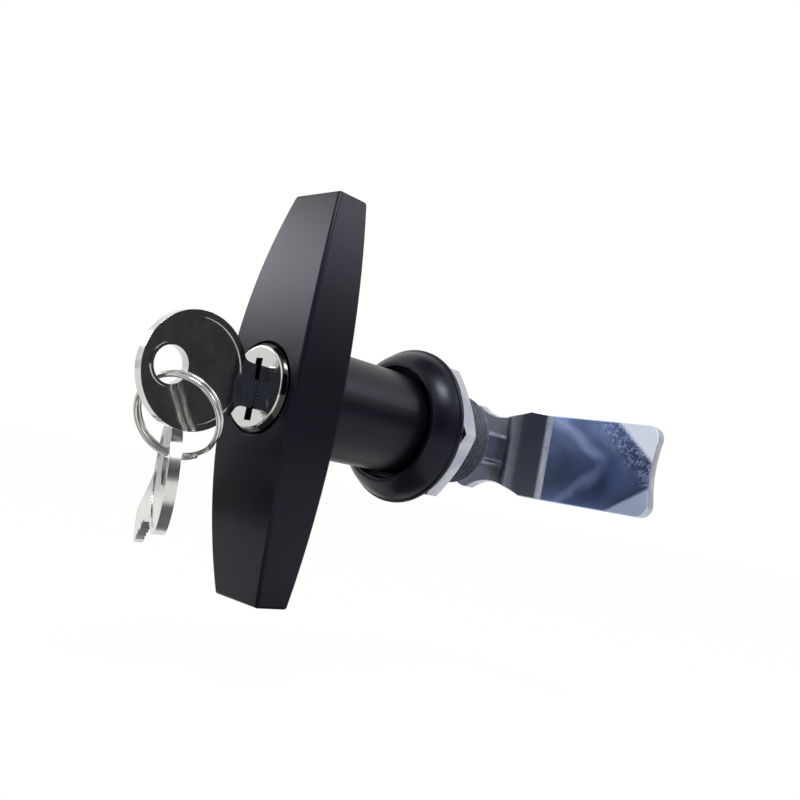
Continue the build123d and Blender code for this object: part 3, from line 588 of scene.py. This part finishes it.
def round_bar_back(bm):
    """Gives the rounding along the bar's back the stations that its long triangles lack."""
    centre = BAR_HALF_WIDTH - BAR_SIDE_R
    start = BAR_BACK_Y - BAR_BACK_ROUND

    def rounded(point):
        out = math.hypot(abs(point.x) - centre, point.z)
        return (start - WELD < point.y < BAR_BACK_Y + WELD and abs(point.z) < BAR_ROUND_END + NEAR
                and out > BAR_SIDE_R - BAR_BACK_REACH)

    def cut(at, way):
        faces = [f for f in bm.faces if all(rounded(v.co) for v in f.verts)]
        edges = list({e for f in faces for e in f.edges})
        verts = list({v for f in faces for v in f.verts})
        bmesh.ops.bisect_plane(bm, geom=faces + edges + verts, dist=WELD, plane_co=at, plane_no=way)

    bmesh.ops.triangulate(bm, faces=[f for f in bm.faces if all(rounded(v.co) for v in f.verts)])
    last = int(BAR_ROUND_END / MM)
    for step in range(-last, last + 1):
        cut((0, 0, step * MM), (0, 0, 1))
    for degrees in BAR_ROUND_CUTS:
        cut((0, start + BAR_BACK_ROUND * math.sin(math.radians(degrees)), 0), (0, 1, 0))
    for vert in bm.verts:
        if rounded(vert.co):
            out = Vector((abs(vert.co.x) - centre, vert.co.z))
            rise = min(vert.co.y - start, BAR_BACK_ROUND)
            out *= (BAR_SIDE_R - BAR_BACK_ROUND + math.sqrt(BAR_BACK_ROUND ** 2 - rise ** 2)) / out.length
            vert.co.x = math.copysign(out.x + centre, vert.co.x)
            vert.co.z = out.y


def place_piece(bm, name, body, material, stands_for):
    """Makes the finished object: smooth where it curves, sharp at its edges, riding on its body."""
    mesh = bpy.data.meshes.new(name)
    bm.to_mesh(mesh)
    bm.free()
    for extra in ("custom_normal", "sharp_face"):
        if extra in mesh.attributes:
            mesh.attributes.remove(mesh.attributes[extra])
    mesh.shade_smooth()
    mesh.set_sharp_from_angle(angle=SHARP)
    mesh.materials.clear()
    mesh.materials.append(material)
    piece = bpy.data.objects.new(name, mesh)
    bpy.context.scene.collection.objects.link(piece)
    even = piece.modifiers.new("Even shading", "WEIGHTED_NORMAL")
    even.keep_sharp = True
    even.mode = "FACE_AREA_WITH_ANGLE"
    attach(piece, body)
    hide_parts(stands_for)


def paint_node(node, material):
    """Gives a CAD node that stays as it is its finish."""
    piece = NODES[node]
    piece.data.materials.clear()
    piece.data.materials.append(material)


# Stage

def lamp(name, at, towards, wide, high, power):
    """A rectangular soft lamp that faces a point."""
    light = bpy.data.lights.new(name, "AREA")
    light.shape = "RECTANGLE"
    light.size = wide
    light.size_y = high
    light.energy = power
    made = bpy.data.objects.new(name, light)
    made.location = at
    made.rotation_euler = (Vector(towards) - Vector(at)).to_track_quat("-Z", "Y").to_euler()
    bpy.context.scene.collection.objects.link(made)


def card(name, at, wide, high, colour):
    """A card round the lock, seen only in its reflections, flat where it lies above or below."""
    bm = bmesh.new()
    flat = abs(at[2]) > math.hypot(at[0], at[1])
    turn = Matrix.Identity(4) if flat else (-Vector(at)).to_track_quat("Z", "Y").to_matrix().to_4x4()
    bmesh.ops.create_grid(bm, x_segments=1, y_segments=1, size=0.5,
                          matrix=Matrix.Translation(at) @ turn @ Matrix.Diagonal((wide, high, 1, 1)))
    mesh = bpy.data.meshes.new(name)
    bm.to_mesh(mesh)
    bm.free()
    material = bpy.data.materials.new(name)
    material.use_nodes = True
    nodes = Nodes(material.node_tree)
    glow = nodes.node("ShaderNodeEmission", {}, {"Color": rgba(colour)})
    nodes.feed(nodes.tree.nodes["Material Output"].inputs["Surface"], glow)
    mesh.materials.append(material)
    made = bpy.data.objects.new(name, mesh)
    bpy.context.scene.collection.objects.link(made)
    made.visible_camera = made.visible_diffuse = made.visible_shadow = False
    made.visible_transmission = made.visible_volume_scatter = False


def seen_directly(nodes):
    """1 for rays from the camera, off a mirror or through glass, and 0 for soft light."""
    camera, glossy, through = (nodes.node("ShaderNodeLightPath", {}, {}, output=name) for name in
                               ("Is Camera Ray", "Is Glossy Ray", "Is Transmission Ray"))
    return camera.math("MAXIMUM", camera.math("MAXIMUM", camera, glossy), through)


def white_surroundings(soft_light):
    """A world that looks white and lights the lock less."""
    world = bpy.data.worlds.new("white_surroundings")
    world.use_nodes = True
    nodes = Nodes(world.node_tree)
    background = nodes.tree.nodes["Background"]
    background.inputs["Color"].default_value = (*WHITE, 1.0)
    nodes.feed(background.inputs["Strength"], soft_light + (1.0 - soft_light) * seen_directly(nodes))
    return world


def floor_finish(colour):
    """Pale floor that keeps a faint shadow under a white that meets the background."""
    material = bpy.data.materials.new("pale_floor")
    material.use_nodes = True
    nodes = Nodes(material.node_tree)
    shader = nodes.tree.nodes["Principled BSDF"]
    shader.inputs["Base Color"].default_value = rgba(colour)
    shader.inputs["Roughness"].default_value = 0.9
    glow = nodes.node("ShaderNodeEmission", {}, {"Color": rgba(WHITE)})
    plain = Value(nodes, shader.outputs[0])
    both = nodes.node("ShaderNodeMixShader", {}, {0: FLOOR_GLOW * seen_directly(nodes), 1: plain, 2: glow})
    nodes.feed(nodes.tree.nodes["Material Output"].inputs["Surface"], both)
    return material


# Operators

def values_of(context):
    """The sizes and colours that the panel shows."""
    return context.scene.lock_sizes, context.scene.lock_colours


class LOCK_OT_handle(bpy.types.Operator):
    """Coated T bar and stem, with the rims of its bores rounded by the coat"""

    bl_idname = "lock.handle"
    bl_label = "T handle"

    def execute(self, context):
        sizes, colours = values_of(context)
        bm = cad_copy("handle")
        round_bar_back(bm)
        soften(bm, sizes.handle_edge, lambda p: p.y < BAR_EDGES_Y and radius_of(p) > BAR_EDGES_R)
        place_piece(bm, "t_handle", "handle", powder_coat(colours), "handle")
        return {"FINISHED"}


class LOCK_OT_housing(bpy.types.Operator):
    """Domed collar, the threaded barrel behind it, and the gasket between"""

    bl_idname = "lock.housing"
    bl_label = "Collar, barrel and gasket"

    def execute(self, context):
        sizes, colours = values_of(context)
        bm = cad_copy("base_housing")
        geometry = bm.verts[:] + bm.edges[:] + bm.faces[:]
        bmesh.ops.bisect_plane(bm, geom=geometry, dist=WELD, plane_co=(0, 0, 0), plane_no=AXIS,
                               clear_outer=True)
        close_ends(bm, 0.0)
        soften(bm, sizes.handle_edge, lambda p: radius_of(p) > COLLAR_EDGES_R)
        place_piece(bm, "collar", "base", coated_collar(colours), "base_housing")

        bm = bmesh.new()
        screw_surface(bm, THREAD_R, RELIEF_R, sizes.thread_pitch, 0.0, BARREL_END, sizes.thread_steps)
        # The thread runs out in a chamfer at the barrel's end
        for vert in bm.verts:
            limit = THREAD_R - max(0.0, vert.co.y - (BARREL_END - BARREL_CHAMFER))
            r = radius_of(vert.co)
            if r > limit:
                vert.co.x *= limit / r
                vert.co.z *= limit / r
        bore = [(COUNTERBORE_R, BARREL_END), (COUNTERBORE_R, FLANGE_BACK), (TAIL_BORE_R, FLANGE_BACK),
                (TAIL_BORE_R, FLANGE_FRONT), (HUB_BORE_R, FLANGE_FRONT), (HUB_BORE_R, 0.0)]
        spun(bm, bore, sizes.thread_steps)
        close_ends(bm, 0.0, BARREL_END)
        place_piece(bm, "threaded_barrel", "base", bare_thread(), "base_housing")

        bm = cad_copy("panel_gasket")
        soften(bm, GASKET_EDGE, segments=3)
        place_piece(bm, "gasket", "base", rubber(colours), "panel_gasket")
        return {"FINISHED"}


class LOCK_OT_nut(bpy.types.Operator):
    """Hexagon nut with a screw thread in step with the barrel's"""

    bl_idname = "lock.nut"
    bl_label = "Mounting nut"

    def execute(self, context):
        sizes, colours = values_of(context)
        bm = cad_copy("mounting_nut")
        # The end faces and the bore make way for new ones round the thread
        inner = [f for f in bm.faces
                 if abs(f.normal.y) > ALONG_AXIS or all(radius_of(v.co) < THREAD_R + MM for v in f.verts)]
        bmesh.ops.delete(bm, geom=inner, context="FACES")
        inside = bmesh.new()
        screw_surface(inside, THREAD_R + THREAD_GAP, RELIEF_R + THREAD_GAP, sizes.thread_pitch, 0.0, NUT_T,
                      sizes.thread_steps)
        add_mesh(bm, inside)
        close_ends(bm, 0.0, NUT_T)
        soften(bm, sizes.nut_edge, lambda p: radius_of(p) > NUT_EDGES_R)
        place_piece(bm, "hex_nut", "base", zinc_plate(colours), "mounting_nut")
        return {"FINISHED"}


class LOCK_OT_cam(bpy.types.Operator):
    """Square shank, cranked cam plate, and the bolt and washers that hold it"""

    bl_idname = "lock.cam"
    bl_label = "Shank and cam"

    def execute(self, context):
        sizes, colours = values_of(context)
        bm = cad_copy("cam")
        soften(bm, sizes.plate_edge, lambda p: max(abs(p.x), abs(p.z)) > CAM_EDGES_FROM, segments=3)
        place_piece(bm, "cam_plate", "handle", cam_plate_finish(colours), "cam")
        bm = cad_copy("spindle")
        soften(bm, sizes.nut_edge, lambda p: p.y > SHANK_EDGES_Y)
        place_piece(bm, "square_shank", "handle", zinc_plate(colours, "zinc_plate_shank", 0.2, 0.0015),
                    "spindle")
        plated = zinc_plate(colours, "zinc_plate_small", 0.18)
        spring = plain_metal("spring_steel", colours.steel, 0.25)
        for node, name, finish, slot in (
                ("cam_washer", "plain_washer", plated, "zinc_plate"),
                ("cam_bolt", "hex_bolt", plated, "zinc_plate"),
                ("spring_washer", "split_washer", spring, "spring_steel"),
                ("retaining_ring", "snap_ring", spring, "spring_steel"),
                ("thrust_washer", "inner_washer", plated, "zinc_plate")):
            bm = cad_copy(node)
            soften(bm, SMALL_EDGE * sizes.nut_edge)
            place_piece(bm, name, "handle", finish, node)
        return {"FINISHED"}


class LOCK_OT_lock_face(bpy.types.Operator):
    """Pressed nickel face over the end of the lock plug"""

    bl_idname = "lock.lock_face"
    bl_label = "Lock face"

    def execute(self, context):
        sizes, colours = values_of(context)
        bm = cad_copy("plug_cap")
        soften(bm, sizes.key_edge, lambda p: radius_of(p) > FACE_EDGES_R)
        place_piece(bm, "lock_face", "plug", nickel_face(colours), "plug_cap")
        return {"FINISHED"}


class LOCK_OT_keys(bpy.types.Operator):
    """The key in the lock and the spare key on the ring"""

    bl_idname = "lock.keys"
    bl_label = "Keys"

    def execute(self, context):
        sizes, colours = values_of(context)
        for node, name, body, rough in (
                ("key", "key_in_lock", "key", 0.05), ("spare_key", "key_on_ring", "spare", 0.17)):
            bm = cad_copy(node)
            if body == "key":
                soften(bm, sizes.rim_edge, on_rim, segments=4)
            soften(bm, sizes.key_edge, segments=3)
            place_piece(bm, name, body, nickel_key(colours, "nickel_" + name, rough), node)
        return {"FINISHED"}


class LOCK_OT_ring(bpy.types.Operator):
    """Split ring of two turns"""

    bl_idname = "lock.ring"
    bl_label = "Split ring"

    def execute(self, context):
        colours = context.scene.lock_colours
        bm = cad_copy("split_ring")
        soften(bm, WIRE_EDGE)
        place_piece(bm, "key_ring", "ring", nickel_wire(colours), "split_ring")
        return {"FINISHED"}


class LOCK_OT_springs(bpy.types.Operator):
    """Wound springs under the wafers and behind the latch"""

    bl_idname = "lock.springs"
    bl_label = "Springs"

    def execute(self, context):
        sizes, colours = values_of(context)
        steel = plain_metal("spring_wire", colours.steel, 0.2)
        wire = sizes.spring_wire
        for node, name, count, turns in (("wafer_springs", "wafer_coils", WAFERS, 8),
                                         ("plug_latch_spring", "latch_coil", 1, 6)):
            low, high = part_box(node)
            half = (high.x - low.x) / 2
            bm = bmesh.new()
            for i in range(count):
                share = i / max(count - 1, 1)
                y = low.y + half + share * (high.y - low.y - 2 * half)
                wind(bm, (low.x + half, y), half - wire, low.z + wire, high.z - wire, turns, wire)
            place_piece(bm, name, "plug", steel, node)
        return {"FINISHED"}


class LOCK_OT_inside(bpy.types.Operator):
    """Finishes of the pieces inside the lock"""

    bl_idname = "lock.inside"
    bl_label = "Inner pieces"

    def execute(self, context):
        colours = context.scene.lock_colours
        pin = plain_metal("ground_steel", colours.steel, 0.18, (1, 0.1, 1))
        brass = plain_metal("stamped_brass", colours.brass, 0.22)
        core = plain_metal("plug_zinc_alloy", PLUG_GREY, 0.3)
        for node, finish, slot in (
                ("plug", core, "zinc_plate"), ("wafers", brass, "brass"), ("plug_latch", brass, "brass"),
                ("stop_pin", pin, "steel_pin"), ("spindle_pin", pin, "steel_pin"),
                ("drive_pin", pin, "steel_pin"), ("lock_bolt", pin, "steel_pin"),
                ("stem_o_ring", rubber(colours), "gasket_rubber")):
            paint_node(node, finish)
        return {"FINISHED"}


class LOCK_OT_stage(bpy.types.Operator):
    """Camera, floor, white surroundings, soft lamps and the cards that the metal reflects"""

    bl_idname = "lock.stage"
    bl_label = "Stage"

    def execute(self, context):
        scene = context.scene
        camera = bpy.data.objects.new("camera", bpy.data.cameras.new("camera"))
        scene.collection.objects.link(camera)
        turn = Matrix((CAMERA_RIGHT, CAMERA_UP, CAMERA_BACK)).transposed().to_4x4()
        camera.matrix_world = Matrix.Translation(CAMERA_AT) @ turn
        camera.data.lens = CAMERA_LENS
        camera.data.sensor_width = CAMERA_SENSOR
        camera.data.clip_start, camera.data.clip_end = CAMERA_CLIP
        scene.camera = camera

        bm = bmesh.new()
        bmesh.ops.create_grid(bm, x_segments=1, y_segments=1, size=FLOOR_HALF,
                              matrix=Matrix.Translation((0, 0, FLOOR_Z)))
        mesh = bpy.data.meshes.new("floor")
        bm.to_mesh(mesh)
        bm.free()
        mesh.materials.append(floor_finish(scene.lock_colours.floor))
        floor = bpy.data.objects.new("floor", mesh)
        scene.collection.objects.link(floor)

        scene.world = white_surroundings(SOFT_LIGHT)
        for values in LAMPS:
            lamp(*values)
        for values in CARDS:
            card(*values)
        scene.view_settings.view_transform = "Standard"
        return {"FINISHED"}


class LOCK_PT_panel(bpy.types.Panel):
    """Lists the lock's pieces and values"""

    bl_idname = "LOCK_PT_panel"
    bl_label = "Cabinet lock"
    bl_space_type = "VIEW_3D"
    bl_region_type = "UI"
    bl_category = "Cabinet lock"

    def draw(self, context):
        column = self.layout.column()
        for group in (context.scene.lock_sizes, context.scene.lock_colours):
            for name in group.__annotations__:
                column.prop(group, name)
        for operator in OPERATORS:
            column.operator(operator.bl_idname)


OPERATORS = (LOCK_OT_stage, LOCK_OT_handle, LOCK_OT_housing, LOCK_OT_nut, LOCK_OT_cam, LOCK_OT_lock_face,
             LOCK_OT_keys, LOCK_OT_ring, LOCK_OT_springs, LOCK_OT_inside)
CLASSES = (LockSizes, LockColours, *OPERATORS, LOCK_PT_panel)


def register():
    for cls in CLASSES:
        bpy.utils.register_class(cls)
    bpy.types.Scene.lock_sizes = bpy.props.PointerProperty(type=LockSizes)
    bpy.types.Scene.lock_colours = bpy.props.PointerProperty(type=LockColours)


def unregister():
    del bpy.types.Scene.lock_sizes
    del bpy.types.Scene.lock_colours
    for cls in reversed(CLASSES):
        bpy.utils.unregister_class(cls)


def main():
    register()
    for operator in OPERATORS:
        getattr(bpy.ops.lock, operator.bl_idname.split(".")[1])()


if __name__ == "__main__":
    main()
